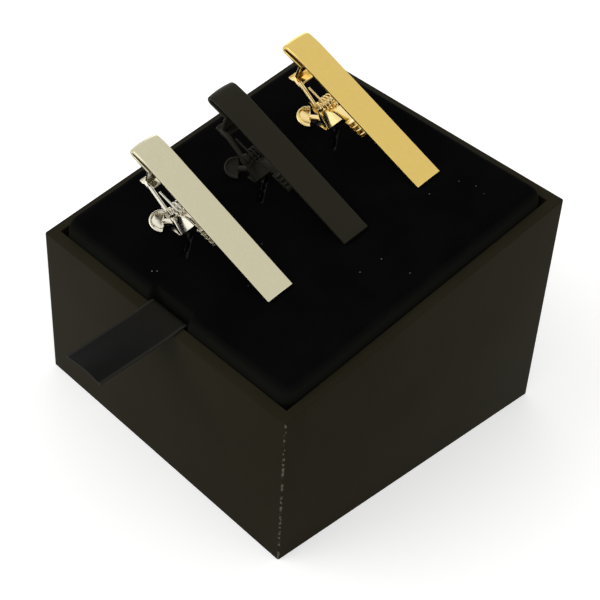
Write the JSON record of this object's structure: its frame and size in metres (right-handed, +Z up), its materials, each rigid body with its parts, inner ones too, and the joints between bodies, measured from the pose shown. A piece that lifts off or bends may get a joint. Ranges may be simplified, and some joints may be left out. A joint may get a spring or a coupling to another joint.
{
  "type": "tie pin box",
  "caption": "Slant-cut black gift box with a lift-out velvet pad, a ribbon pull and tie bars whose sprung pinch clips are pushed into slits in the pad.",
  "frame": {"origin": "centre of the box's base, on the table", "axes": "+Z up, -Y towards the low front wall that the ribbon hangs over, +X along the front towards the bars' low ends"},
  "size_m": [0.076, 0.094, 0.0731],
  "materials": {
    "greyboard": "raw grey board",
    "wrap_paper": "matt black covering paper",
    "platform_card": "black card",
    "foam": "black open-cell foam",
    "velvet": "black short-pile velvet",
    "ribbon_satin": "black satin ribbon",
    "anchor_tape": "black paper tape",
    "silver_metal": "satin silver plate",
    "silver_steel": "spring steel",
    "black_metal": "matt black plate",
    "black_steel": "blackened steel",
    "gold_metal": "satin gold plate",
    "gold_steel": "gold-plated spring wire"
  },
  "bodies": {
    "box": {"floor_board": "greyboard", "front_board": "greyboard", "back_board": "greyboard", "left_board": "greyboard", "right_board": "greyboard", "outer_wrap": "wrap_paper", "bottom_paper": "wrap_paper", "floor_liner": "wrap_paper"},
    "insert": {"platform_card": "platform_card", "foam_pad": "foam", "velvet_cover": "velvet", "ribbon_pull": "ribbon_satin", "ribbon_anchor_tape": "anchor_tape"},
    "silver_clip": {"silver_bar": "silver_metal", "silver_clip_base": "silver_metal", "silver_pivot_pin": "silver_steel", "silver_spring": "silver_steel"},
    "silver_lever": {"silver_lever": "silver_metal"},
    "black_clip": {"black_bar": "black_metal", "black_clip_base": "black_metal", "black_pivot_pin": "black_steel", "black_spring": "black_steel"},
    "black_lever": {"black_lever": "black_metal"},
    "gold_clip": {"gold_bar": "gold_metal", "gold_clip_base": "gold_metal", "gold_pivot_pin": "gold_steel", "gold_spring": "gold_steel"},
    "gold_lever": {"gold_lever": "gold_metal"}
  },
  "joints": [
    {"name": "insert_lift", "type": "slide", "parent": "box", "child": "insert", "axis": [0, 0, 1], "range_m": [0, 0.065]},
    {"name": "silver_pull_out", "type": "slide", "parent": "insert", "child": "silver_clip", "axis": [0, -0.2171, 0.9762], "range_m": [0, 0.022]},
    {"name": "silver_pinch", "type": "hinge", "parent": "silver_clip", "child": "silver_lever", "pos_m": [-0.01455, -0.02046, 0.0495], "axis": [0, 0.9762, 0.2171], "range_deg": [0, 10], "stiffness_Nm_per_rad": 0.004, "springref_deg": -20.05, "deforming": ["silver_spring"]},
    {"name": "black_pull_out", "type": "slide", "parent": "insert", "child": "black_clip", "axis": [0, -0.2171, 0.9762], "range_m": [0, 0.022]},
    {"name": "black_pinch", "type": "hinge", "parent": "black_clip", "child": "black_lever", "pos_m": [-0.01455, -0.00015, 0.05402], "axis": [0, 0.9762, 0.2171], "range_deg": [0, 10], "stiffness_Nm_per_rad": 0.004, "springref_deg": -20.05, "deforming": ["black_spring"]},
    {"name": "gold_pull_out", "type": "slide", "parent": "insert", "child": "gold_clip", "axis": [0, -0.2171, 0.9762], "range_m": [0, 0.022]},
    {"name": "gold_pinch", "type": "hinge", "parent": "gold_clip", "child": "gold_lever", "pos_m": [-0.01455, 0.02035, 0.05858], "axis": [0, 0.9762, 0.2171], "range_deg": [0, 10], "stiffness_Nm_per_rad": 0.004, "springref_deg": -20.05, "deforming": ["gold_spring"]}
  ]
}
